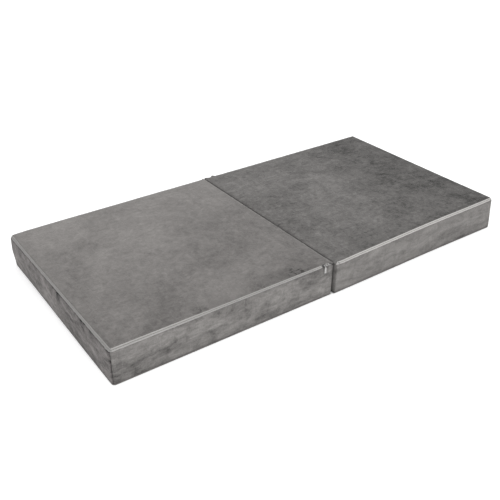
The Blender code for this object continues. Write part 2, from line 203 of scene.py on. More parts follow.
# Stage
FLOOR_REACH = 30.0
FLOOR_LEVEL = -0.0004
FILL_SHARE = 0.15
CAMERA_AIM = (0, 0, 0.05)
CAMERA_OFFSET = (-0.03857, -0.05922, 2.3703)

# Woven stuffs: from rib to rib, from twill to twill and from yarn to yarn
RIB = 0.0009
TWILL = 0.0011
WEAVE = 0.0012

# Tone of the slider against the other metal parts
SLIDER_TONE = 0.33

# Noises of the nap: scale, detail, distortion and roughness
CLOUD = (5.0, 3.0, 0.7, 0.6)
BLOTCH = (19.0, 5.0, 1.3, 0.58)
SUEDE = (80.0, 4.0, 0.8, 0.62)
FLOCK = (260.0, 3.0, 0.4)
BRUSH = (1.0, 4.0, 0.6, 0.6)
NAP_STRETCH = (900.0, 1500.0, 1100.0)
# Reach of each painted pucker shade
PUCKER_SHADE_RADIUS = 0.055

# Brush marks: stretch, turn and strength
BRUSHED = (
    ((30.0, 90.0, 20.0), 0.5, -0.05),
    ((22.0, 80.0, 20.0), -0.9, 0.04),
    ((110.0, 5.0, 20.0), 0.03, 0.035),
)
CREASED = BRUSHED + (((170.0, 7.0, 20.0), 0.05, 0.05), ((8.0, 150.0, 20.0), 0.03, -0.05))
SCUFFED = (((34.0, 34.0, 24.0), 0.3, -0.06), ((80.0, 80.0, 22.0), 0.0, 0.035))

# Velours: colour setting, contrast, shares of the broad to the smallest patches, brush marks,
# painted fall of light along X and Y, patches (place, radius, change of tone), painted shade of
# small puckers, stretch of the patches, and change of tone along the seams and how it fades: worn
# lighter on the tops and bottoms, painted shade under the zipper on the sides and ends
TOP, FRONT, END = PAD_HEIGHT, -0.36, -0.71
SOFT, STRONG = (0.65, 0.56, 0.54, 0.34), (0.5, 0.58, 0.44, 0.21)
# Stretch of the side bands' grain, and painted shade under their zipper, fading from the seam
SIDE_GRAIN, SIDE_SEAM_SHADE = (0.42, 0.6, 1.1), (-0.13, -110.0)
VELOURS = {
    "left": dict(
        name="velour top left", colour="left_top", contrast=1.35, mottle=SOFT, strokes=BRUSHED,
        # Painted light: lighter towards the back
        light_fall=(0.0, 0.20),
        patches=(
            (-0.40, 0.30, TOP, 0.50, 0.19), (-0.12, -0.33, TOP, 0.13, -0.10),
            (-0.35, -0.38, TOP, 0.12, -0.07), (-0.62, -0.25, TOP, 0.12, 0.06),
        ),
        pucker_shades=(
            (-0.44, -0.345, TOP), (-0.25, -0.345, TOP), (-0.13, -0.33, TOP), (-0.10, -0.34, TOP),
        ),
    ),
    "right": dict(
        name="velour top right", colour="right_top", contrast=2.2, mottle=(0.55, 0.66, 0.60, 0.40),
        # Painted shade: darker towards the far end
        strokes=CREASED, light_fall=(-0.80, 0.0),
        patches=(
            (0.24, 0.12, TOP, 0.38, 0.16), (0.16, -0.26, TOP, 0.16, -0.09),
            (0.42, -0.42, TOP, 0.24, -0.16), (0.68, -0.05, TOP, 0.40, -0.19),
            (0.30, 0.36, TOP, 0.22, 0.07),
        ),
        pucker_shades=((0.13, -0.335, TOP), (0.62, -0.27, TOP), (0.45, 0.10, TOP)),
    ),
    "left side": dict(
        name="velour left sides", colour="sides", contrast=2.8, mottle=STRONG, strokes=SCUFFED,
        patches=(
            (-0.35, FRONT, 0.09, 0.16, -0.07), (-0.17, FRONT, 0.06, 0.07, 0.11),
            (-0.26, FRONT, 0.035, 0.05, -0.15), (-0.14, FRONT, 0.03, 0.05, -0.11),
        ),
        grain=SIDE_GRAIN, seam_wear_and_shade=SIDE_SEAM_SHADE,
    ),
    "right side": dict(
        name="velour right sides", colour="sides", contrast=2.2, mottle=STRONG, strokes=SCUFFED,
        patches=((0.03, FRONT, 0.04, 0.07, 0.10), (0.62, FRONT, 0.05, 0.30, -0.10)),
        grain=SIDE_GRAIN, seam_wear_and_shade=SIDE_SEAM_SHADE,
    ),
    "end": dict(
        name="velour ends", colour="ends", contrast=5.6, mottle=STRONG, strokes=SCUFFED,
        patches=(
            (END, -0.26, 0.06, 0.16, -0.26), (END, 0.06, 0.05, 0.12, 0.12),
            (END, 0.22, 0.09, 0.10, -0.16),
        ),
        # Painted shade under the zipper
        grain=(0.6, 0.42, 1.1), seam_wear_and_shade=(-0.24, -80.0),
    ),
    "bottom": dict(
        name="velour bottoms", colour="left_top", contrast=1.6, mottle=SOFT, strokes=BRUSHED,
    ),
}


def smooth(share):
    """Return an eased share between 0 and 1."""
    share = np.clip(share, 0, 1)
    return share * share * (3 - 2 * share)


def mix(start, end, share):
    """Return what lies at a share of the way from start to end."""
    return start + (end - start) * share


def raised(flat, height):
    """Return plan points at their heights."""
    tall = np.broadcast_to(height, flat.shape[:-1])
    return np.concatenate((flat, tall[..., None]), axis=-1)


def unit(vectors):
    """Return vectors at a length of 1."""
    return vectors / np.linalg.norm(vectors, axis=-1, keepdims=True)


def lengths_along(line):
    """Return how far each point of a line lies along it."""
    return np.concatenate(([0], np.cumsum(np.linalg.norm(np.diff(line, axis=0), axis=1))))


def points_along(line, lengths, at):
    """Return what a line holds at lengths along it."""
    return np.stack([np.interp(at, lengths, part) for part in line.T], axis=-1)


def corner_bend(corner, inset):
    """Return the radius of a corner at an inset; it runs out at the edge of the flat grid."""
    least = np.clip(GRID_INSET - inset, 0, LIP_RADIUS)
    return np.maximum(CORNER_RADIUS[corner % 4] - inset, least)


def corner_plan(corner, inset, share):
    """Return the plan points at shares of rounded corners."""
    which = corner % 4
    bend = corner_bend(which, inset)
    angle = math.pi / 2 * (which - 1 + share)
    x = CORNER_SIDE_X[which] * (HALF_LENGTH - inset - bend) + bend * np.cos(angle)
    y = CORNER_SIDE_Y[which] * (HALF_WIDTH - inset - bend) + bend * np.sin(angle)
    return np.stack((x, y), axis=-1)


def plan(place, inset):
    """Return the plan points at places on the outline, each at its inset."""
    place, inset = np.broadcast_arrays(np.mod(place, 8), inset)
    corner = np.floor(place / 2).astype(int)
    share = place - 2 * corner
    straight = mix(
        corner_plan(corner - 1, inset, 1.0),
        corner_plan(corner, inset, 0.0),
        np.clip(share, 0, 1)[..., None],
    )
    bent = corner_plan(corner, inset, np.clip(share - 1, 0, 1))
    return np.where((share > 1)[..., None], bent, straight)


def pad_grid(inset, cells):
    """Return an even grid of plan points over a pad, an inset in from its outline."""
    marks = np.linspace(0, 1, cells + 1)
    x = mix(inset - HALF_LENGTH, HALF_LENGTH - inset, marks)[None, :]
    y = mix(inset - HALF_WIDTH, HALF_WIDTH - inset, marks)[:, None]
    return np.broadcast_arrays(x, y)


def rim_places(start, end, cells=SIDE_CELLS):
    """Return places along the outline from start to end."""
    found = []
    for stretch in range(start, end):
        steps = CORNER_CELLS if stretch % 2 else cells
        found.extend(stretch + np.arange(steps) / steps)
    return np.array(found + [end])


def hinge_share(place):
    """Return 1 on the hinge side, 0 on the zipped sides, and an even change between."""
    place = np.mod(place, 8)
    return smooth(np.where(place < 6.5, place - 5, 8 - place))


def swell_share(place):
    """Return how much a side swells at a place: 1 at its middle and 0 at its corners."""
    place = np.mod(place, 8)
    still = (place >= 5) | (np.floor(place).astype(int) % 2 == 1)
    return np.where(still, 0, 1 - (2 * (place % 1) - 1) ** 4)


def lip_lap(place):
    """Return how far a lip reaches over its tape; it reaches further along the end."""
    place = np.mod(place, 8)
    return LIP_LAP + END_LAP * smooth((place - 2) / 0.3) * smooth((3 - place) / 0.4)


def head_inset(place):
    """Return the inset of a side's upper end."""
    return mix(SIDE_BULGE, 0, hinge_share(place))


def edge_width(place):
    """Return the run of the bevel between the side and the top."""
    return mix(ZIP_EDGE, HINGE_EDGE, hinge_share(place))


def foot_inset(place):
    """Return the inset of a side's lower end."""
    return mix(SIDE_BULGE, INNER_LEAN, hinge_share(place))


def crown_height(x, y):
    """Return the height of the top over a plan point, soft over the corners."""
    near_x = HALF_LENGTH - np.abs(x)
    near_y = HALF_WIDTH - np.abs(y)
    inset = -CROWN_EASE * np.log(np.exp(-near_x / CROWN_EASE) + np.exp(-near_y / CROWN_EASE))
    share = np.clip((inset - GRID_INSET) / (CROWN_RUN - GRID_INSET), 0, 1)
    return BROW + CROWN * (1 - (1 - share) ** 2)


def ripples(x, y, seed, shortest, longest, count=24):
    """Return seeded soft waves of unit size over a surface."""
    draw = np.random.default_rng(seed)
    total = np.zeros(np.broadcast(x, y).shape)
    for _ in range(count):
        length = draw.uniform(shortest, longest)
        angle = draw.uniform(0, math.tau)
        phase = draw.uniform(0, math.tau)
        total += np.cos(math.tau * (x * math.cos(angle) + y * math.sin(angle)) / length + phase)
    return total / math.sqrt(count / 2)


def roll_depth(radius, distance):
    """Return how deep a rolled cloth edge lies at a distance from the edge."""
    left = np.clip(radius - distance, 0, radius) ** 2
    return radius - np.sqrt(np.clip(radius**2 - left, 0, None))


def stitch_press(distance):
    """Return how deep the stitch line presses the cloth at a distance from the edge."""
    return STITCH_PRESS * np.exp(-(((distance - STITCH_LINE) / 0.0006) ** 2))


def place_in_part(half, points):
    """Return points of a pad's frame as points of the whole part, with its slack drawn in."""
    points = np.array(points, float)
    x, y, z = (points[..., axis] for axis in range(3))
    near_front = smooth(0.5 - y / PAD_WIDTH)
    height = np.clip(z / PAD_HEIGHT, 0, 1)
    to_end, to_side, back = HALF_LENGTH - x, HALF_WIDTH - np.abs(y), np.sign(y)
    away = (to_end + HALF_WIDTH + y) / CORNER_RUN[half]
    slack = np.exp(-np.maximum(away, 0)) * smooth(height)
    foot = near_front * smooth(1 - height / FOOT_RISE) * (1 - smooth(to_end / FOOT_RUN))
    run, draw = (np.where(back < 0, *pair) for pair in (TIP_RUN, TIP_DRAW))
    tip = draw * smooth(1 - to_end / run) * smooth(1 - to_side / run) * smooth(height)
    x -= CORNER_DRAW[half] * slack + FOOT_DRAW[half] * foot + tip
    y += CORNER_DRAW[half] * slack - tip * back
    z -= CORNER_SINK[half] * slack
    if half == "left":
        return points * (-1, -1, 1) - (PAD_CENTRE, 0, 0)
    from_crease = x + HALF_LENGTH
    near_crease = 1 - smooth(from_crease / SKEW_RUN)
    near_corner = near_front**6
    curl = CURL * np.exp(-((np.maximum(from_crease, 0) / CURL_RUN) ** 1.5))
    forward = SKEW * near_crease * mix(SKEW_AT_FOOT, 1, height) - SKEW_BACK * (1 - near_crease)
    y -= forward * near_front
    y += curl * near_corner * smooth(2.2 * height - 1.2)
    z -= SAG * (1 - smooth(from_crease / SAG_RUN)) * near_corner * height
    return points + (PAD_CENTRE, 0, 0)


def even_marks(length, cell):
    """Return shares from 0 to 1 in even steps of about a cell."""
    return np.linspace(0, 1, max(int(round(length / cell)), 1) + 1)


def edged_marks(length):
    """Return distances across a cloth that crowd towards both of its edges."""
    low = np.array(EDGE_MARKS)
    inner = low[-1] + (length - 2 * low[-1]) * even_marks(length - 2 * low[-1], CELL)[1:-1]
    return np.concatenate((low, inner, length - low[::-1]))


def loft_faces(width, stations=4):
    """Return the faces of a solid with like stations and both ends closed."""
    count = width * stations
    faces = [tuple(range(width)), tuple(range(count - width, count))[::-1]]
    for first in range(count - width):
        second = first - first % width + (first + 1) % width
        faces.append((first, first + width, second + width, second))
    return faces


class Sheet:
    """A mesh in the making: grids of points with named numbers at each point."""

    def __init__(self, *names):
        self.names = names
        self.points = []
        self.values = {name: [] for name in names}
        self.faces = []
        self.size = 0

    def add_points(self, points, shape, values):
        """Add points in rows and columns, with their numbers, and return their indices."""
        index = self.size + np.arange(shape[0] * shape[1]).reshape(shape)
        self.points.append(points.reshape(-1, 3))
        for name in self.names:
            self.values[name].append(np.broadcast_to(values.get(name, 0.0), shape).reshape(-1))
        self.size += index.size
        return index

    def add_grid(self, points, closed=False, capped=False, **values):
        """Add a grid of points, row by row, and join it up."""
        index = self.add_points(points, points.shape[:2], values)
        right = np.roll(index, -1, axis=1) if closed else index[:, 1:]
        left = index if closed else index[:, :-1]
        quads = np.stack((left[:-1], right[:-1], right[1:], left[1:]), axis=-1)
        self.faces.extend(quads.reshape(-1, 4).tolist())
        if capped:
            self.faces.extend((index[0].tolist(), index[-1].tolist()))
        return index

    def add_solids(self, points, faces, **values):
        """Add many like solids: points is solids by corners by 3."""
        index = self.add_points(points, points.shape[:2], values)
        for face in faces:
            self.faces.extend(index[:, face].tolist())

    def piece(self, name, half, material, weld=True, smooth_angle=60.0):
        """Return the finished object, with its faces turned out."""
        points = np.concatenate(self.points)
        mesh = bpy.data.meshes.new(name)
        mesh.from_pydata(place_in_part(half, points) if half else points, [], self.faces)
        for key in self.names:
            layer = mesh.attributes.new(key, "FLOAT", "POINT")
            layer.data.foreach_set("value", np.concatenate(self.values[key]).astype(np.float32))
        shape = bmesh.new()
        shape.from_mesh(mesh)
        if weld:
            bmesh.ops.remove_doubles(shape, verts=shape.verts, dist=1e-6)
        bmesh.ops.recalc_face_normals(shape, faces=shape.faces)
        shape.to_mesh(mesh)
        shape.free()
        mesh.materials.append(material)
        mesh.shade_smooth()
        mesh.set_sharp_from_angle(angle=math.radians(smooth_angle))
        piece = bpy.data.objects.new(name, mesh)
        bpy.context.scene.collection.objects.link(piece)
        return piece

    def cloth(self, name, half, material, thickness=CLOTH):
        """Return the finished sheet, turned out of its pad and thickened inwards."""
        piece = self.piece(name, half, material)
        middle = Vector(place_in_part(half, (0, 0, PAD_HEIGHT / 2)))
        faces = piece.data.polygons
        if sum((face.center - middle).dot(face.normal) * face.area for face in faces) < 0:
            piece.data.flip_normals()
        shell = piece.modifiers.new("cloth thickness", "SOLIDIFY")
        shell.thickness = thickness
        shell.offset = -1
        return piece


# Covers


def top_surface(x, y, seed):
    """Return the height of the velour top: crowned, with shallow waves pressed into it."""
    pressed = 0.00032 * (1 + 0.5 * ripples(x, y, seed, 0.10, 0.28))
    pressed = pressed + 0.00007 * ripples(x, y, seed + 1, 0.018, 0.05)
    inside = smooth((HALF_WIDTH - np.abs(y)) / 0.1 - 0.3)
    for at, lean in TOP_FOLDS:
        off = x - at - lean * y - 0.002 * ripples(0 * x, y, seed + 2, 0.1, 0.3, 6)
        pressed = pressed + TOP_FOLD_DEPTH * np.exp(-((off / 0.006) ** 2)) * inside
    return crown_height(x, y) - np.clip(pressed, 0, MOST_PRESSED)


def hem_inset(place):
    """Return the inset of the bend between the top and the bevel."""
    return head_inset(place) + edge_width(place)


def lip_reach(place):
    """Return how far the top's cloth runs down the bevel: a lip, or a flap on the hinge side."""
    return mix(lip_lap(place), HINGE_EDGE * math.sqrt(2), hinge_share(place))


def lip_points(place, reach, seed):
    """Return points of the top's outer part, at distances in from the edge of its lip."""
    hinge = hinge_share(place)
    hem, lap = hem_inset(place), lip_reach(place)
    widest = lap + GRID_INSET - hem
    inset = hem - lap * ROOT + np.where(reach < lap, reach * ROOT, lap * ROOT + reach - lap)
    x, y = np.moveaxis(plan(place, inset), -1, 0)
    top = top_surface(x, y, seed)
    bevel = BROW - (hem - inset)
    ease = mix(0.0007, 0.0016, hinge)
    soft = top - ease * np.log(1 + np.exp((top - bevel) / ease))
    calm = smooth((reach - LIP_MARKS[-1]) / (widest - LIP_MARKS[-1]))
    height = mix(soft, top, calm)
    wave = ripples(x, y, seed + 5, 0.012, 0.035)
    loose = mix(0.00016, 0.00036, smooth(swell_share(place)) * (np.mod(place, 8) > 1.5))
    sink = (np.abs(wave) * loose * (1 - calm) + stitch_press(reach)) * (1 - hinge)
    down = np.clip(1 - reach / lap, 0, 1)
    full = hinge * (0.0024 * down * (1 - down) + (0.0009 + 0.0003 * wave) * down)
    depth = (roll_depth(HEM_ROLL, reach) - full) * ROOT
    return raised(plan(place, inset + depth), height - sink - depth)


def add_stitches(sheet, line, facing):
    """Add a row of stitches along points of the cloth, each one bowed and sunk at its ends."""
    ahead = unit(np.gradient(line, axis=0))
    out = unit(np.cross(ahead, np.cross(facing, ahead)))
    lengths = lengths_along(line)
    start = STITCH_PITCH * (np.arange(int(lengths[-1] / STITCH_PITCH) - 1) + 0.5)
    corners = []
    for share, lift in ((0.0, -0.8), (0.28, 0.15), (0.72, 0.15), (1.0, -0.8)):
        at = start + STITCH_LENGTH * share
        parts = (line, out, np.cross(out, ahead))
        middle, off, wide = (points_along(part, lengths, at) for part in parts)
        for aside, rise in ((-0.5, 0.0), (-0.3, 0.4), (0.3, 0.4), (0.5, 0.0)):
            corners.append(middle + wide * (aside * THREAD) + off * ((lift + rise) * THREAD))
    sheet.add_solids(np.stack(corners, axis=1), loft_faces(4))


def side_facing(line):
    """Return the way the sides face at points of them."""
    sides = np.abs(line[:, :2]) - (HALF_LENGTH, HALF_WIDTH)
    nearest = (np.arange(len(line)), np.argmax(sides, axis=1))
    facing = np.zeros(line.shape)
    facing[nearest] = np.sign(line[nearest])
    return facing


def top_panel(half, material, thread, seed):
    """Return the top panel, hemmed along the zipper, with a flap over the hinge side."""
    sheet = Sheet("seam", "run", "fold")
    x, y = pad_grid(GRID_INSET, SIDE_CELLS)
    near_zip = np.minimum(HALF_LENGTH - x, HALF_WIDTH - np.abs(y)) - 0.010
    near = np.minimum(near_zip, x + HALF_LENGTH + 0.002)
    sheet.add_grid(np.stack((x, y, top_surface(x, y, seed)), axis=-1), seam=near)
    place = rim_places(0, 8)[None, :-1]
    widest = lip_reach(place) + GRID_INSET - hem_inset(place)
    inner = LIP_MARKS[-1] + (widest - LIP_MARKS[-1]) * even_marks(1, 0.16)[1:, None]
    reach = np.concatenate((np.array(LIP_MARKS)[:, None] + 0 * place, inner))
    sheet.add_grid(lip_points(place, reach, seed), closed=True, seam=reach)
    line = rim_places(0, 5)
    add_stitches(thread, lip_points(line, STITCH_LINE + 0 * line, seed), (0.0, 0.0, 1.0))
    return sheet.cloth(half + "_top_panel_velour", half, material)


def bottom_panel(half, material, seed):
    """Return the bottom panel, flat on the floor and rolled up to the lower seam."""
    sheet = Sheet("seam", "run", "fold")
    x, y = pad_grid(GRID_INSET, SIDE_CELLS // 2)
    near = np.minimum(HALF_LENGTH - np.abs(x), HALF_WIDTH - np.abs(y))
    waves = 0.5 + 0.5 * np.tanh(ripples(x, y, seed, 0.07, 0.2))
    lift = 0.0006 * smooth((near - 0.03) / 0.06) * waves
    sheet.add_grid(np.stack((x, y, lift), axis=-1), seam=near)
    place = rim_places(0, 8, SIDE_CELLS // 2)[None, :-1]
    foot = foot_inset(place)
    share, rise = np.array(BOTTOM_PATH).T[..., None]
    height = (BOTTOM_ROLL - BOTTOM_ROOM) * rise + 0 * place
    points = raised(plan(place, foot + share * (GRID_INSET - foot)), height)
    sheet.add_grid(points, closed=True, seam=GRID_INSET * share)
    return sheet.cloth(half + "_bottom_panel_velour", half, material)


def band_columns(first_corner, start):
    """Return the places of a band's columns and how far each lies along the band."""
    arcs, turns = [], []
    radii = CORNER_RADIUS[[first_corner % 4, (first_corner + 1) % 4]]
    for radius in radii:
        half_arc = radius * math.pi / 4
        near = [mark for mark in EDGE_MARKS if mark < half_arc - 0.001]
        arcs.append(np.concatenate((near, np.linspace(near[-1], half_arc, 4)[1:])))
        turns.append(arcs[-1] / (radius * math.pi / 2))
    straight = np.linspace(0, 1, SIDE_CELLS + 1)[1:-1]
    last = (start + 2 - turns[1])[::-1]
    place = np.concatenate((start + turns[0], start + 0.5 + straight, last))
    side_length = PAD_WIDTH - sum(radii)
    far = arcs[0][-1] + side_length + arcs[1][-1] - arcs[1]
    along = np.concatenate((arcs[0], arcs[0][-1] + side_length * straight, far[::-1]))
    return place[None, :], along[None, :]


def band(half, name, first_corner, start, material, thread, seed):
    """Return one side band, from the seam in one corner to the seam in the next."""
    place, along = band_columns(first_corner, start)
    hinge = hinge_share(place) * (np.mod(place, 8) > 5)
    brow = BROW - edge_width(place)
    high = brow - SLOT_DROP * hinge
    lap = lip_lap(place) * (1 - hinge_share(place))
    tall = high - BOTTOM_ROLL + lap
    span = BROW - ZIP_EDGE - BOTTOM_ROLL
    marks = edged_marks(span)
    marks = marks[marks < marks[-1] - 0.006]
    upper = np.array(EDGE_MARKS[-1:] + LIP_MARKS[::-1])[:, None] + 0 * tall
    from_top = np.concatenate(((1 - marks / span)[:, None] * tall, upper))
    from_low = tall - from_top
    from_seam = np.minimum(along, along[:, -1:] - along)
    near = np.minimum(from_seam, np.minimum(from_top, from_low))

    below = from_top - lap
    turned = LIP_BEND * np.log(1 + np.exp(-below / LIP_BEND)) * lap / LIP_LAP
    height = high - below - (1 - ROOT) * turned
    lean = np.clip((height - BOTTOM_ROLL) / (brow - BOTTOM_ROLL), 0, 1)
    swell = SIDE_BULGE * swell_share(place) * 4 * lean * (1 - lean)
    inset = mix(foot_inset(place), head_inset(place), lean) - swell

    still = smooth(near / 0.012)
    free = smooth(from_seam / 0.02)
    loose = END_LOOSENESS if name == "end_band" else 1.0
    gather = loose * np.exp(-from_top / (0.016 * loose)) * free
    waves = 0
    for number, share in enumerate((still, still, gather, np.exp(-from_low / 0.012) * free)):
        depth, stretch, shortest, longest = BAND_WAVES[number]
        wave = ripples(along, height * stretch, seed + number, shortest, longest)
        waves = waves + depth * wave * share
    pull = 0.0005 * np.exp(-(((from_seam - 0.6 * from_top - 0.012) / 0.004) ** 2))
    pull = pull * np.exp(-from_top / 0.03) * smooth(from_seam / 0.01)
    inset = inset - mix(1.0, 0.35, hinge) * (waves - pull)
    inset = np.maximum(inset, -MOST_BULGE) + ROOT * turned

    over = smooth(0.5 - below / 0.0012) * lap / LIP_LAP
    depth = roll_depth(HEM_ROLL, from_top) + stitch_press(from_top) * lap / LIP_LAP
    groove = roll_depth(SEAM_ROLL, from_seam) * smooth(from_top / 0.004 + 0.25)
    rolled = np.maximum(depth * mix(1, ROOT, over), roll_depth(HEM_ROLL, from_low))
    inset = inset + np.maximum(rolled, groove)
    height = height - depth * ROOT * over
    points = raised(plan(place, inset), height)
    if name != "inner_band":
        line = points[-1 - LIP_MARKS.index(STITCH_LINE)]
        line = line[(from_seam[0] > 0.004) & (lap[0] > 0.9 * LIP_LAP)]
        add_stitches(thread, line, side_facing(line))

    tuck = SEAM_TUCK * smooth(from_top / 0.006) * smooth(from_low / 0.003)
    tucked = raised(plan(place, inset + tuck), height)
    points = np.concatenate((tucked[:, :1], points, tucked[:, -1:]), axis=1)
    # Painted shade in the seam grooves: darker at the corner seams and along the lower seam
    fold = np.exp(-from_seam / 0.0016) + 0.6 * np.exp(-from_low / 0.0012)
    near, run, fold = (np.pad(part, ((0, 0), (1, 1)), "edge") for part in (near, along, fold))
    fold[:, [0, -1]] = 1
    sheet = Sheet("seam", "run", "fold")
    sheet.add_grid(points, seam=near, run=run, fold=np.minimum(fold, 1))
    return sheet.cloth(half + "_" + name + "_velour", half, material)


def bevel_place(head, across, out):
    """Return the inset and height of a point on the zipped bevel over a side's upper end."""
    inset = head + ZIP_EDGE / 2 + (across - out) * ROOT
    return inset, BROW - ZIP_EDGE / 2 + (across + out) * ROOT


def foam_slab(half, material):
    """Return the foam slab: soft edges, and a rebate behind the zipper."""
    sheet = Sheet("seam")
    x, y = pad_grid(FOAM_INSET, FOAM_CELLS)
    sink = TAPE_DEPTH + TAPE
    sheet.add_grid(np.stack((x, y, crown_height(x, y) - sink), axis=-1))
    sheet.add_grid(np.stack((x, y, np.full_like(x, TAPE_DEPTH)), axis=-1))
    place = rim_places(0, 8, FOAM_CELLS)[None, :-1]
    at_tip = (place < 4) * (np.floor(place).astype(int) % 2)
    room = TIP_ROOM * at_tip * np.sin(math.pi * (place % 1))
    head, foot = head_inset(place) + room, foot_inset(place) + room
    back = TAPE_DEPTH + TAPE + 2 * CLEARANCE
    lap = BROW - ZIP_EDGE - TAPE_LAP
    inner = FOAM_INSET + 0 * head
    rim = plan(place, inner)
    path = (
        (inner, crown_height(rim[..., 0], rim[..., 1]) - sink),
        (head + ZIP_EDGE + TAPE_LAP + 0.001, BROW - back),
        bevel_place(head, 0.0054, -0.0028),
        bevel_place(head, 0.0046, -0.0075),
        bevel_place(head, -0.0046, -0.0075),
        bevel_place(head, -0.0054, -0.0028),
        (head + back, lap - 0.001),
        (head + back - TAPE, lap - 0.002),
        (mix(foot, head, 0.5) + TAPE_DEPTH, PAD_HEIGHT / 2),
        (foot + TAPE_DEPTH + 0.0003, BOTTOM_ROLL + 0.002),
        (foot + TAPE_DEPTH + 0.0022, TAPE_DEPTH + 0.0018),
        (foot + TAPE_DEPTH + 0.0050, TAPE_DEPTH),
        (inner, TAPE_DEPTH),
    )
    rows = [raised(plan(place, inset), height)[0] for inset, height in path]
    sheet.add_grid(np.array(rows), closed=True)
    return sheet.piece(half + "_foam_slab", half, material, smooth_angle=40)


# Zippers


def zip_point(across, out):
    """Return the inset and height of a point on the zipped bevel."""
    return bevel_place(SIDE_BULGE, across, out)


def zip_plan(stretch, share, inset):
    """Return plan points along the zipper: front, corner, end, corner, back."""
    if stretch % 4:
        return plan(stretch + np.asarray(share), inset)
    start = TAPE_START - HALF_LENGTH
    turn = HALF_LENGTH - inset - corner_bend(0, inset)
    x = mix(turn, start, share) if stretch else mix(start, turn, share)
    y = (HALF_WIDTH - inset) * (1 if stretch else -1)
    return np.stack(np.broadcast_arrays(x, y), axis=-1)


def zip_line(cell):
    """Return the stretches and shares of even steps along the zipper, and the lengths run."""
    middle = np.full(9, zip_point(0, 0)[0])
    stops, run, done = [], [], 0.0
    for stretch in range(5):
        length = lengths_along(zip_plan(stretch, np.linspace(0, 1, 9), middle))[-1]
        shares = even_marks(length, cell / 5 if stretch % 2 else cell)
        if stretch < 4:
            shares = shares[:-1]
        stops.extend((stretch, share) for share in shares)
        run.extend(done + length * shares)
        done += length
    return stops, np.array(run)


def tape_path(points):
    """Return a tape's outer path with more points, and the distance across it at each."""
    points = np.array(points)
    lengths = lengths_along(points)
    across = []
    for start, end in zip(lengths, lengths[1:]):
        across.extend(np.linspace(start, end, max(int((end - start) / TAPE_CELL), 1) + 1)[:-1])
    across = np.array(across + [lengths[-1]])
    inset, height = points_along(points, lengths, across).T
    return inset, height, across


def add_tapes(half, material):
    """Return both woven tapes of a pad's zipper, swept along it."""
    bend = TAPE_DEPTH * MITRE
    head = SIDE_BULGE + ZIP_EDGE
    paths = {
        "zip_top_tape": (
            zip_point(WEB_ROOM, -TAPE_DEPTH),
            (head + bend, BROW - TAPE_DEPTH),
            (head + TAPE_LAP, BROW - TAPE_DEPTH),
        ),
        "zip_side_tape": (
            zip_point(-WEB_ROOM, -TAPE_DEPTH),
            (SIDE_BULGE + TAPE_DEPTH, BROW - ZIP_EDGE - bend),
            (SIDE_BULGE + TAPE_DEPTH, BROW - ZIP_EDGE - TAPE_LAP),
        ),
    }
    stops, run = zip_line(ZIP_CELL)
    pieces = []
    for name, points in paths.items():
        inset, height, across = tape_path(points)
        rows = [raised(zip_plan(stretch, share, inset), height) for stretch, share in stops]
        sheet = Sheet("run", "across")
        sheet.add_grid(np.array(rows), run=run[:, None], across=across[None, :])
        piece = sheet.cloth(half + "_" + name + "_woven", half, material, TAPE)
        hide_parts(half + "_" + name)
        pieces.append(piece)
    return pieces


def add_core(half, name, side, material):
    """Return the cord that runs inside one row of the coil."""
    angle = np.linspace(0, math.pi, 9)
    across = side * (CHAIN_SLOT / 2 + COIL_WIDTH * 0.5) + COIL_WIDTH * 0.42 * np.cos(angle)
    inset, height = zip_point(across, COIL_BASE + COIL_HEIGHT * 0.62 * np.sin(angle))
    stops, run = zip_line(ZIP_CELL)
    start = CHAIN_START - TAPE_START
    kept = (start < run) & (run < run[-1] - start)
    rows = [raised(zip_plan(*stop, inset), height) for stop, keep in zip(stops, kept) if keep]
    sheet = Sheet("run", "across")
    wide = np.linspace(0, COIL_WIDTH, 9)
    sheet.add_grid(np.array(rows), closed=True, capped=True, run=run[kept][:, None], across=wide)
    return sheet.piece(half + "_" + name + "_core", half, material)


def add_teeth(half, name, side, material, pitch):
    """Return one row of nylon coil teeth on its tape."""
    middle = zip_point(0, 0)[0]
    line = np.array([zip_plan(*stop, middle) for stop in zip_line(TEETH_CELL)[0]]).reshape(-1, 2)
    lengths = lengths_along(line)
    start = CHAIN_START - TAPE_START
    count = int((lengths[-1] - 2 * start - pitch) / pitch)
    at = start + pitch * 0.5 + (0.5 * pitch if side < 0 else 0.0) + pitch * np.arange(count)
    ahead, behind = (points_along(line, lengths, at + step) for step in (0.001, -0.001))
    along = unit(ahead - behind)
    inward = np.stack((-along[:, 1], along[:, 0]), axis=-1) * ROOT
    centre = raised(points_along(line, lengths, at), BROW - ZIP_EDGE / 2)
    along, across, out = raised(along, 0), raised(inward, ROOT), raised(-inward, ROOT)
    heel = CHAIN_SLOT / 2 + COIL_WIDTH
    stations = (
        (WEB_ROOM, 0.55, 0.78), (WEB_ROOM + 0.0005, 0.95, 0.92),
        (heel - 0.0009, 1.0, 0.86), (heel, 0.6, 0.7),
    )
    section = ((-0.5, 0.0), (-0.42, 0.62), (-0.16, 1.0), (0.16, 1.0), (0.42, 0.62), (0.5, 0.0))
    corners = []
    for reach, tall, width in stations:
        for aside, rise in section:
            corners.append(
                centre
                + along * (pitch * 0.74 * width * aside)
                + across * (side * reach)
                + out * (COIL_BASE + COIL_HEIGHT * tall * rise)
            )
    sheet = Sheet("run")
    sheet.add_solids(np.stack(corners, axis=1), loft_faces(len(section)))
    piece = sheet.piece(half + "_" + name + "_teeth", half, material, weld=False, smooth_angle=50)
    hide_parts(half + "_" + name + "_coil")
    return piece


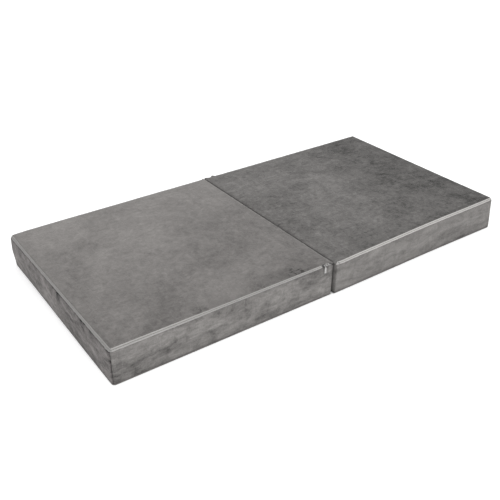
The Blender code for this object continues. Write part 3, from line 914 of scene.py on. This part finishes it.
def add_stop(half, name, y_side, material):
    """Return a zipper stop: a crimped block over both rows."""
    wide, narrow = STOP_HALF_WIDTH, STOP_HALF_WIDTH - STOP_BEVEL
    low, high, crest = COIL_BASE, COIL_BASE + COIL_HEIGHT, COIL_BASE + COIL_HEIGHT + 0.0006
    outline = (
        (-wide, low), (-wide, high), (-narrow, crest), (narrow, crest), (wide, high), (wide, low),
    )
    rows = []
    for share, grow in ((0.0, 0.86), (0.12, 1.0), (0.5, 0.94), (0.88, 1.0), (1.0, 0.86)):
        x = STOP_START + STOP_LENGTH * share - HALF_LENGTH
        row = [zip_point(across * grow, low + (out - low) * grow) for across, out in outline]
        rows.append([(x, y_side * (HALF_WIDTH - inset), height) for inset, height in row])
    sheet = Sheet()
    sheet.add_grid(np.array(rows), closed=True, capped=True)
    piece = sheet.piece(half + "_" + name + "_crimped", half, material, smooth_angle=35)
    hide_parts(half + "_" + name)
    return piece


# Hinge


def hinge_cloth(material):
    """Return the cloth strip that joins both covers and bridges the crease in a shallow arch."""
    low = BROW - HINGE_EDGE - SLOT_DROP + CLEARANCE + STRIP_THICKNESS / 2
    high = FOLD_AXIS_HEIGHT - STRIP_DIP - STRIP_BEND
    route = [(CREASE_GAP / 2 + STRIP_TAIL, low), (CREASE_GAP / 2, low)]
    route += [(STRIP_BEND, low + STRIP_KNEE)]
    route += [(STRIP_BEND, mix(low, high, step / 5)) for step in range(1, 5)]
    angle = np.linspace(0, math.pi / 2, 7)
    route += list(zip(STRIP_BEND * np.cos(angle), high + STRIP_BEND * np.sin(angle)))
    route = np.array(route + [(-x, z) for x, z in route[-2::-1]])
    run = lengths_along(route)
    ahead = unit(np.gradient(route, axis=0))
    off = np.stack((-ahead[:, 1], ahead[:, 0]), axis=-1) * STRIP_THICKNESS / 2
    loop = np.concatenate((route + off, (route - off)[::-1]))
    ends = HALF_WIDTH - STRIP_SHORT
    y = np.linspace(-ends, ends, 97)
    x, y, z = np.broadcast_arrays(loop[:, 0], y[:, None], loop[:, 1])
    sheet = Sheet("run", "across")
    around = np.concatenate((run, run[::-1]))[None, :]
    index = sheet.add_grid(np.stack((x, y, z), axis=-1), closed=True, run=y, across=around)
    for row in (index[0], index[-1]):
        for step in range(len(route) - 1):
            sheet.faces.append([row[step], row[step + 1], row[-step - 2], row[-step - 1]])
    return sheet.piece("hinge_strip_cloth", None, material)


# Materials


class Shader:
    """The nodes of a material or a world in the making."""

    def __init__(self, owner):
        owner.use_nodes = True
        self.owner = owner
        self.tree = owner.node_tree
        self.surface = self.tree.nodes.get("Principled BSDF")

    def node(self, kind, settings=None, **inputs):
        """Add a node; inputs are values or other nodes' sockets, by the name of the socket."""
        node = self.tree.nodes.new(kind)
        for key, value in (settings or {}).items():
            setattr(node, key, value)
        self.fill(node, **inputs)
        return node

    def fill(self, node, **inputs):
        """Link or set a node's inputs, by the name of the socket."""
        for key, value in inputs.items():
            self.feed(node.inputs[key.replace("_", " ")], value)

    def feed(self, socket, value):
        """Link a socket to another, or set its value."""
        if isinstance(value, bpy.types.NodeSocket):
            self.tree.links.new(value, socket)
        else:
            socket.default_value = value

    def math(self, operation, *values):
        """Return the result socket of a math node."""
        node = self.node("ShaderNodeMath", {"operation": operation})
        for socket, value in zip(node.inputs, values):
            self.feed(socket, value)
        return node.outputs[0]

    def times(self, first, *others):
        """Return a product."""
        for other in others:
            first = self.math("MULTIPLY", first, other)
        return first

    def layered(self, tone, *layers):
        """Return a tone with layers added to it, each one a socket and its strength."""
        for layer, strength in layers:
            tone = self.math("MULTIPLY_ADD", layer, strength, tone)
        return tone

    def spot(self):
        """Return the place on the object, in metres."""
        return self.node("ShaderNodeTexCoord").outputs["Object"]

    def parts(self, vector):
        """Return the X, Y and Z of a vector."""
        return self.node("ShaderNodeSeparateXYZ", Vector=vector).outputs

    def stretched(self, vector, scale, turn=0.0):
        """Return coordinates stretched by a scale and turned about Z."""
        turn = (0, 0, turn)
        return self.node("ShaderNodeMapping", Vector=vector, Scale=scale, Rotation=turn).outputs[0]

    def noise(self, vector, scale, detail=2.0, distortion=0.0, roughness=0.5):
        """Return a noise that runs about evenly round 0."""
        node = self.node(
            "ShaderNodeTexNoise",
            Vector=vector, Scale=scale, Detail=detail, Distortion=distortion, Roughness=roughness,
        )
        return self.math("SUBTRACT", node.outputs[0], 0.5)

    def patch(self, vector, place, radius):
        """Return a soft round patch: 1 at a place and 0 from a radius on."""
        away = self.node("ShaderNodeVectorMath", {"operation": "DISTANCE"})
        self.feed(away.inputs[0], vector)
        self.feed(away.inputs[1], place)
        return self.step(away.outputs["Value"], radius, 0.0)

    def step(self, value, start, end):
        """Return an eased step from 0 at the start to 1 at the end."""
        eased = {"interpolation_type": "SMOOTHSTEP"}
        node = self.node("ShaderNodeMapRange", eased, Value=value, From_Min=start, From_Max=end)
        return node.outputs["Result"]

    def hollow(self, distance, samples=4):
        """Return how open a place is: 0 deep in a hollow, 1 in the open."""
        node = self.node("ShaderNodeAmbientOcclusion", {"samples": samples}, Distance=distance)
        return node.outputs["AO"]

    def zip_tone_and_end_shade(self, vector):
        """Return the tone of a zipper: lighter on the right pad, and darker along the ends with
        painted shade.
        """
        along = self.parts(vector)[0]
        tone = self.layered(0.84, (self.step(along, -0.1, 0.1), 0.20))
        # Painted shade along the ends
        end = self.step(self.math("ABSOLUTE", along), 0.696, 0.702)
        return self.times(tone, self.layered(1.0, (end, -0.26)))

    def seen(self):
        """Return 1 where the camera, a reflection or a glass looks, and 0 for other light."""
        path = self.node("ShaderNodeLightPath").outputs
        seen = self.math("ADD", path["Is Camera Ray"], path["Is Glossy Ray"])
        return self.math("MINIMUM", self.math("ADD", seen, path["Is Transmission Ray"]), 1.0)

    def number(self, name):
        """Return a number kept at the mesh's points."""
        return self.node("ShaderNodeAttribute", {"attribute_name": name}).outputs["Fac"]

    def finish(self, colour, tone, roughness, *bumps, **inputs):
        """Return the material: a colour times a tone; a bump is a height and its real size."""
        shade = self.node("ShaderNodeVectorMath", {"operation": "SCALE"}, Scale=tone)
        self.feed(shade.inputs[0], tuple(colour))
        self.fill(self.surface, Base_Color=shade.outputs[0], Roughness=roughness, **inputs)
        normal = {}
        for height, depth in bumps:
            normal.update(Height=height, Distance=depth, Strength=1.0)
            normal = {"Normal": self.node("ShaderNodeBump", **normal).outputs[0]}
        self.fill(self.surface, **normal)
        return self.owner


def new_shader(name):
    """Return the nodes of a new material."""
    return Shader(bpy.data.materials.new(name))


def velour_material(
    settings, name, colour, contrast, mottle, strokes,
    light_fall=(0.0, 0.0), patches=(), pucker_shades=(), grain=(1, 1, 1), seam_wear_and_shade=(0.14, -260.0),
):
    """Return velour: a short dense nap, brushed into soft light and dark patches, under painted
    light and shade.
    """
    contrast = contrast * settings.contrast
    shader = new_shader(name)
    spot = shader.spot()
    drawn = shader.stretched(spot, grain)
    cloud, blotch, suede = (shader.noise(drawn, *noise) for noise in (CLOUD, BLOTCH, SUEDE))
    nap = shader.noise(shader.stretched(spot, NAP_STRETCH, 0.4), 1.0)
    flock = shader.noise(spot, *FLOCK)
    seam = shader.number("seam")
    layers = list(zip((cloud, blotch, suede, flock), (share * contrast for share in mottle)))
    for stretch, turn, strength in strokes:
        marks = shader.noise(shader.stretched(spot, stretch, turn), *BRUSH)
        layers.append((shader.step(marks, 0.03, 0.14), strength * contrast))
    for *place, radius, change in patches:
        layers.append((shader.patch(spot, place, radius), change))
    near_seam = shader.times(shader.step(suede, 0.02, 0.13), shader.step(seam, 0.042, 0.006))
    layers.append((shader.times(near_seam, shader.step(cloud, -0.03, 0.10)), -0.16))
    # Painted shade of small puckers near the front edge
    for place in pucker_shades:
        pucker_shade = shader.times(shader.step(suede, -0.01, 0.07), shader.patch(spot, place, PUCKER_SHADE_RADIUS))
        layers.append((pucker_shade, -0.42))
    along, aside = shader.parts(spot)[:2]
    # Painted light: the tone falls off across the pad
    far = shader.math("MAXIMUM", shader.math("SUBTRACT", along, 0.25), 0.0)
    # Tone along the seams: worn lighter on the tops and bottoms, painted shade under the zipper on
    # the sides and ends
    rubbed = shader.math("POWER", 2.718, shader.times(seam, seam_wear_and_shade[1]))
    layers += [(nap, 0.50), (far, light_fall[0]), (aside, light_fall[1]), (rubbed, seam_wear_and_shade[0])]
    # Painted shade in the seam grooves, kept as a number at the cloth's points
    tone = shader.layered(1.0, *layers, (shader.number("fold"), -0.55))
    # Painted shade deep in the crease and other hollows
    open_share = shader.step(shader.hollow(0.03), 0.08, 0.45)
    tone = shader.times(tone, shader.layered(0.40, (open_share, 0.60)))
    return shader.finish(
        getattr(settings, colour), tone, shader.layered(0.9, (blotch, 0.12)),
        (marks, 0.0010), (flock, 0.0005), (nap, 0.00035),
        Specular_IOR_Level=0.22, Sheen_Weight=0.25, Sheen_Roughness=0.45,
        Sheen_Tint=(0.9, 0.88, 0.86, 1),
    )


def tape_material(name, colour, lip_cover_and_shade=0.0):
    """Return woven tape: fine ribs along it and a twill across.

    The last argument is how much darker the tape gets on the left front side, where the lip's nap
    lies over it and its shade is painted.
    """
    shader = new_shader(name)
    run, across = shader.number("run"), shader.number("across")
    rib = shader.math("SINE", shader.times(across, math.tau / RIB))
    slant = shader.times(shader.layered(run, (across, 0.6)), math.tau / TWILL)
    weave = shader.times(shader.math("ADD", rib, shader.math("SINE", slant)), 0.25)
    spot = shader.spot()
    soil, fuzz = shader.noise(spot, 30.0, 3.0, 0.6), shader.noise(spot, 900.0)
    tone = shader.layered(1.0, (weave, 0.14), (soil, 0.22), (fuzz, 0.12))
    along, aside = shader.parts(spot)[:2]
    # Darker on the left front side: the lip's nap over the tape, and painted shade
    nap = shader.times(shader.step(along, -0.54, -0.34), shader.step(along, 0.02, -0.02))
    nap = shader.times(nap, shader.step(aside, -0.33, -0.34))
    tone = shader.times(tone, shader.zip_tone_and_end_shade(spot), shader.layered(1.0, (nap, -lip_cover_and_shade)))
    return shader.finish(
        colour, tone, shader.layered(0.78, (soil, 0.1)), (weave, 0.00018), (fuzz, 0.00006),
        Sheen_Weight=0.1,
    )


def nylon_material(name, colour):
    """Return the satin nylon of the coil."""
    shader = new_shader(name)
    spot = shader.spot()
    cloudy, fine = shader.noise(spot, 60.0, 2.0, 0.4), shader.noise(spot, 1500.0)
    tone = shader.times(shader.layered(1.0, (cloudy, 0.18), (fine, 0.12)), shader.zip_tone_and_end_shade(spot))
    return shader.finish(colour, tone, shader.layered(0.42, (fine, 0.2)), (fine, 0.00004))


def metal_material(name, colour):
    """Return die-cast metal under a thin satin lacquer, lighter at its edges: rubbed wear with a
    painted highlight.
    """
    shader = new_shader(name)
    spot = shader.spot()
    cast, rubbed = shader.noise(spot, 700.0, 3.0, 0.3), shader.noise(spot, 260.0, 2.0, 0.8)
    # Painted highlight along the sharp edges, with rubbed wear
    edge = shader.node("ShaderNodeNewGeometry").outputs["Pointiness"]
    edge = shader.math("MAXIMUM", shader.math("SUBTRACT", edge, 0.5), 0.0)
    tone = shader.layered(1.0, (rubbed, 0.25), (edge, 4.0))
    roughness = shader.layered(0.36, (cast, 0.3))
    return shader.finish(colour, tone, roughness, (cast, 0.00005), Metallic=0.55)


def foam_material(name, colour):
    """Return open-cell foam: fine pores, a slight yellowing, and painted shade in its hollows."""
    shader = new_shader(name)
    spot = shader.spot()
    pores = shader.node("ShaderNodeTexVoronoi", Vector=spot, Scale=700.0).outputs["Distance"]
    tone = shader.layered(0.75, (pores, 0.5), (shader.noise(spot, 9.0, 3.0, 0.5), 0.2))
    # Painted shade in the hollows behind the cover
    tone = shader.times(tone, shader.layered(0.35, (shader.hollow(0.02), 0.65)))
    return shader.finish(colour, tone, 0.95, (pores, 0.0005))


def thread_material(name, colour):
    """Return twisted sewing thread."""
    shader = new_shader(name)
    spot = shader.spot()
    twist = shader.noise(spot, 2400.0, 1.0)
    tone = shader.layered(1.0, (twist, 0.6), (shader.noise(spot, 40.0), 0.3))
    return shader.finish(colour, tone, 0.6, (twist, 0.0001))


def hinge_material(name, colour):
    """Return the plain woven cloth of the hinge."""
    shader = new_shader(name)
    yarns = (shader.times(shader.number(key), math.tau / WEAVE) for key in ("run", "across"))
    weave = shader.times(*(shader.math("SINE", yarn) for yarn in yarns))
    worn = shader.noise(shader.spot(), 26.0, 3.0, 0.4)
    tone = shader.layered(1.0, (weave, 0.18), (worn, 0.3))
    return shader.finish(colour, tone, 0.88, (weave, 0.0002))


def floor_material(name, colour, glow):
    """Return a pale floor that reads white away from the object and keeps its shadow."""
    shader = new_shader(name)
    shader.fill(shader.surface, Base_Color=(*colour, 1), Roughness=1.0, Specular_IOR_Level=0.0)
    glowing = shader.times(shader.seen(), shader.step(shader.hollow(0.08, 8), 0.22, 0.47), glow)
    total = shader.node("ShaderNodeAddShader")
    shader.feed(total.inputs[0], shader.surface.outputs[0])
    shader.feed(total.inputs[1], shader.node("ShaderNodeEmission", Strength=glowing).outputs[0])
    shader.fill(shader.tree.nodes["Material Output"], Surface=total.outputs[0])
    return shader.owner


# Settings


def colour_setting(name, description, default):
    """Return a colour setting."""
    return FloatVectorProperty(
        name=name, description=description, default=default, subtype="COLOR", size=3, min=0, max=1,
    )


def number_setting(name, description, default, least, most, **kind):
    """Return a number setting."""
    return FloatProperty(
        name=name, description=description, default=default, min=least, max=most, **kind
    )


class CoverSettings(bpy.types.PropertyGroup):
    """Colours of the velour covers and the foam inside."""

    left_top: colour_setting("Left top", "Colour of the left pad's top", (0.205, 0.195, 0.188))
    # Painted shade: the right top is a darker copy of the top colour
    right_top: colour_setting(
        "Right top", "Colour of the right pad's top, its nap brushed dark", (0.141, 0.136, 0.1315)
    )
    sides: colour_setting("Sides", "Colour of the side bands", (0.238, 0.228, 0.220))
    # Painted shade: the ends are a darker copy of the side colour
    ends: colour_setting(
        "Ends", "Colour of the end bands, their nap brushed dark", (0.153, 0.142, 0.139)
    )
    thread: colour_setting("Thread", "Colour of the stitching", (0.15, 0.145, 0.14))
    contrast: number_setting("Nap contrast", "Strength of the brushed patches", 1.0, 0, 3)
    foam: colour_setting("Foam", "Colour of the foam", (0.72, 0.66, 0.5))


class ZipSettings(bpy.types.PropertyGroup):
    """Colours and sizes of the zippers."""

    tape: colour_setting("Tape", "Colour of the woven tape", (0.70, 0.685, 0.665))
    nylon: colour_setting("Teeth", "Colour of the nylon teeth", (0.68, 0.665, 0.65))
    metal: colour_setting("Metal", "Colour of slider, pull and stops", (0.30, 0.295, 0.29))
    pitch: number_setting(
        "Tooth pitch", "Distance from tooth to tooth", 0.0016, 0.001, 0.004,
        subtype="DISTANCE", unit="LENGTH",
    )
    edge_break: number_setting(
        "Edge break", "Size of the broken edges of the metal parts", 0.00012, 0, 0.0005,
        subtype="DISTANCE", unit="LENGTH",
    )


class HingeSettings(bpy.types.PropertyGroup):
    """Colour of the cloth hinge."""

    cloth: colour_setting("Hinge cloth", "Colour of the hinge strip", (0.115, 0.111, 0.108))


class StageSettings(bpy.types.PropertyGroup):
    """Light, floor and camera."""

    floor: colour_setting("Floor", "Colour of the floor", (0.8, 0.8, 0.8))
    floor_glow: number_setting("Floor glow", "What makes the open floor read white", 0.55, 0, 1)
    ambient: number_setting("Ambient light", "Strength of the even light", 0.68, 0, 2)
    key: number_setting("Key light", "Power of the soft main light", 50.0, 0, 1000, unit="POWER")
    lens: number_setting("Lens", "Focal length", 52.41, 10, 200, subtype="DISTANCE_CAMERA")
    azimuth: number_setting(
        "Azimuth", "Turn of the camera round the object, in degrees", -34.96, -180, 180
    )
    elevation: number_setting("Elevation", "Height of the camera, in degrees", 30.41, 0, 90)
    roll: number_setting("Roll", "Tilt of the camera, in degrees", -0.25, -10, 10)


# Operators


class AddFoam(bpy.types.Operator):
    """Put a foam slab into each cover"""

    bl_idname = "playsofa.add_foam"
    bl_label = "Foam slabs"

    def execute(self, context):
        settings = context.scene.playsofa_covers
        material = foam_material("open-cell foam", settings.foam)
        for half in HALVES:
            slab = foam_slab(half, material)
            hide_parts(half + "_foam_core")
            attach(slab, half + "_half")
        return {"FINISHED"}


class AddCovers(bpy.types.Operator):
    """Sew the velour covers round the slabs"""

    bl_idname = "playsofa.add_covers"
    bl_label = "Velour covers"

    def execute(self, context):
        settings = context.scene.playsofa_covers
        velours = {key: velour_material(settings, **velour) for key, velour in VELOURS.items()}
        yarn = thread_material("sewing thread", settings.thread)
        for half, seed in zip(HALVES, COVER_SEEDS):
            slab = bpy.data.objects[half + "_foam_slab"]
            thread = Sheet()
            sewn = [(top_panel(half, velours[half], thread, seed), "top_panel")]
            sewn.append((bottom_panel(half, velours["bottom"], seed + 10), "bottom_panel"))
            for name, corner, start in BANDS:
                shown = TURNED.get(name, name) if half == "left" else name
                cloth = velours["end" if name == "end_band" else half + " side"]
                piece = band(half, shown, corner, start, cloth, thread, seed + 20 + corner)
                sewn.append((piece, shown))
            for piece, node in sewn:
                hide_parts(half + "_" + node)
                piece.parent = slab
            stitches = thread.piece(half + "_zip_stitches", half, yarn, weld=False, smooth_angle=70)
            stitches.parent = slab
        return {"FINISHED"}


class AddZipTapes(bpy.types.Operator):
    """Sew the woven tapes along three sides of each cover"""

    bl_idname = "playsofa.add_zip_tapes"
    bl_label = "Zipper tapes"

    def execute(self, context):
        material = tape_material("woven tape", context.scene.playsofa_zips.tape, 0.5)
        for half in HALVES:
            for piece in add_tapes(half, material):
                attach(piece, half + "_half")
        return {"FINISHED"}


class AddZipTeeth(bpy.types.Operator):
    """Set the two rows of coil teeth on the tapes"""

    bl_idname = "playsofa.add_zip_teeth"
    bl_label = "Zipper teeth"

    def execute(self, context):
        settings = context.scene.playsofa_zips
        material = nylon_material("nylon coil", settings.nylon)
        cord = tape_material("core cord", settings.nylon)
        for half in HALVES:
            for name, side in (("zip_top", 1), ("zip_side", -1)):
                piece = add_teeth(half, name, side, material, settings.pitch)
                core = add_core(half, name, side, cord)
                for part in (piece, core):
                    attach(part, half + "_half")
        return {"FINISHED"}


class FinishZipMetal(bpy.types.Operator):
    """Give the sliders, pulls and stops their metal and broken edges"""

    bl_idname = "playsofa.finish_zip_metal"
    bl_label = "Zipper metal"

    def execute(self, context):
        settings = context.scene.playsofa_zips
        material = metal_material("die-cast metal", settings.metal)
        dark = [SLIDER_TONE * part for part in settings.metal]
        metals = {"zip_slider": metal_material("dark slider metal", dark), "zip_pull": material}
        for half in HALVES:
            side = STOP_SIDES[half]
            for name, y_side in (("zip_start_stop", side), ("zip_end_stop", -side)):
                stop = add_stop(half, name, y_side, material)
                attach(stop, half + "_half")
            for name, metal in metals.items():
                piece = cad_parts[half + "_" + name]
                for slot in piece.material_slots:
                    slot.material = metal
                edges = piece.modifiers.new("broken edges", "BEVEL")
                edges.width = settings.edge_break
                edges.segments = 2
                edges.limit_method = "ANGLE"
                edges.angle_limit = math.radians(32)
        return {"FINISHED"}


class AddHinge(bpy.types.Operator):
    """Set the cloth strip in the crease"""

    bl_idname = "playsofa.add_hinge"
    bl_label = "Cloth hinge"

    def execute(self, context):
        material = hinge_material("hinge weave", context.scene.playsofa_hinge.cloth)
        strip = hinge_cloth(material)
        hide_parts("hinge_strip")
        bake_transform(strip)
        return {"FINISHED"}


class AddStage(bpy.types.Operator):
    """Set up the floor, the light and the camera"""

    bl_idname = "playsofa.add_stage"
    bl_label = "Stage"

    def execute(self, context):
        scene, settings = context.scene, context.scene.playsofa_stage
        side = FLOOR_REACH
        corners = [(-side, -side, 0), (side, -side, 0), (side, side, 0), (-side, side, 0)]
        mesh = bpy.data.meshes.new("floor")
        mesh.from_pydata(corners, [], [(0, 1, 2, 3)])
        mesh.materials.append(floor_material("pale floor", settings.floor, settings.floor_glow))
        floor = bpy.data.objects.new("floor", mesh)
        scene.collection.objects.link(floor)
        floor.location.z = FLOOR_LEVEL
        set_world(scene, settings.ambient)
        add_lamp(scene, "soft key", settings.key, 3.0, (-0.7, -2.7, 2.9))
        add_lamp(scene, "soft fill", settings.key * FILL_SHARE, 2.4, (1.2, 1.6, 2.6))
        add_camera(scene, settings)
        scene.view_settings.view_transform = "Standard"
        return {"FINISHED"}


def set_world(scene, ambient):
    """Light the scene evenly, and show white to the camera and in reflections."""
    sky = Shader(bpy.data.worlds.new("studio"))
    scene.world = sky.owner
    strength = sky.layered(ambient, (sky.seen(), 1 - ambient))
    sky.fill(sky.tree.nodes["Background"], Color=(1, 1, 1, 1), Strength=strength)


def add_lamp(scene, name, power, size, location):
    """Add a soft square light that looks at the object."""
    data = bpy.data.lights.new(name, "AREA")
    data.energy = power
    data.size = size
    lamp = bpy.data.objects.new(name, data)
    lamp.location = location
    lamp.rotation_mode = "QUATERNION"
    lamp.rotation_quaternion = (-Vector(location)).to_track_quat("-Z", "Y")
    scene.collection.objects.link(lamp)


def add_camera(scene, settings):
    """Add the camera at the photograph's place."""
    azimuth = math.radians(settings.azimuth)
    elevation = math.radians(settings.elevation)
    back = Vector((
        math.sin(azimuth) * math.cos(elevation),
        -math.cos(azimuth) * math.cos(elevation),
        math.sin(elevation),
    ))
    right = Vector((math.cos(azimuth), math.sin(azimuth), 0))
    turn = Matrix((right, back.cross(right), back)).transposed()
    turn = turn @ Matrix.Rotation(math.radians(settings.roll), 3, "Z")
    data = bpy.data.cameras.new("camera")
    data.lens = settings.lens
    data.sensor_width = 36.0
    camera = bpy.data.objects.new("camera", data)
    camera.rotation_mode = "QUATERNION"
    camera.rotation_quaternion = turn.to_quaternion()
    camera.location = Vector(CAMERA_AIM) + turn @ Vector(CAMERA_OFFSET)
    scene.collection.objects.link(camera)
    scene.camera = camera


class PlaySofaPanel(bpy.types.Panel):
    """Lists the pieces of the play sofa and their settings"""

    bl_idname = "VIEW3D_PT_playsofa"
    bl_label = "Play sofa"
    bl_space_type = "VIEW_3D"
    bl_region_type = "UI"
    bl_category = "Play sofa"

    def draw(self, context):
        for group, (kind, operators) in GROUPS.items():
            box = self.layout.box()
            for name in kind.__annotations__:
                box.prop(getattr(context.scene, group), name)
            for operator in operators:
                box.operator(operator.bl_idname)


GROUPS = {
    "playsofa_covers": (CoverSettings, (AddFoam, AddCovers)),
    "playsofa_zips": (ZipSettings, (AddZipTapes, AddZipTeeth, FinishZipMetal)),
    "playsofa_hinge": (HingeSettings, (AddHinge,)),
    "playsofa_stage": (StageSettings, (AddStage,)),
}


def register():
    """Register the settings, the operators and the panel."""
    for name, (kind, operators) in GROUPS.items():
        for entry in (kind, *operators):
            bpy.utils.register_class(entry)
        setattr(bpy.types.Scene, name, PointerProperty(type=kind))
    bpy.utils.register_class(PlaySofaPanel)


def unregister():
    """Take everything out again."""
    bpy.utils.unregister_class(PlaySofaPanel)
    for name, (kind, operators) in reversed(GROUPS.items()):
        delattr(bpy.types.Scene, name)
        for entry in (*reversed(operators), kind):
            bpy.utils.unregister_class(entry)


def main():
    """Dress the whole part."""
    register()
    bpy.ops.playsofa.add_foam()
    bpy.ops.playsofa.add_covers()
    bpy.ops.playsofa.add_zip_tapes()
    bpy.ops.playsofa.add_zip_teeth()
    bpy.ops.playsofa.finish_zip_metal()
    bpy.ops.playsofa.add_hinge()
    bpy.ops.playsofa.add_stage()
    bpy.context.view_layer.update()


if __name__ == "__main__":
    main()
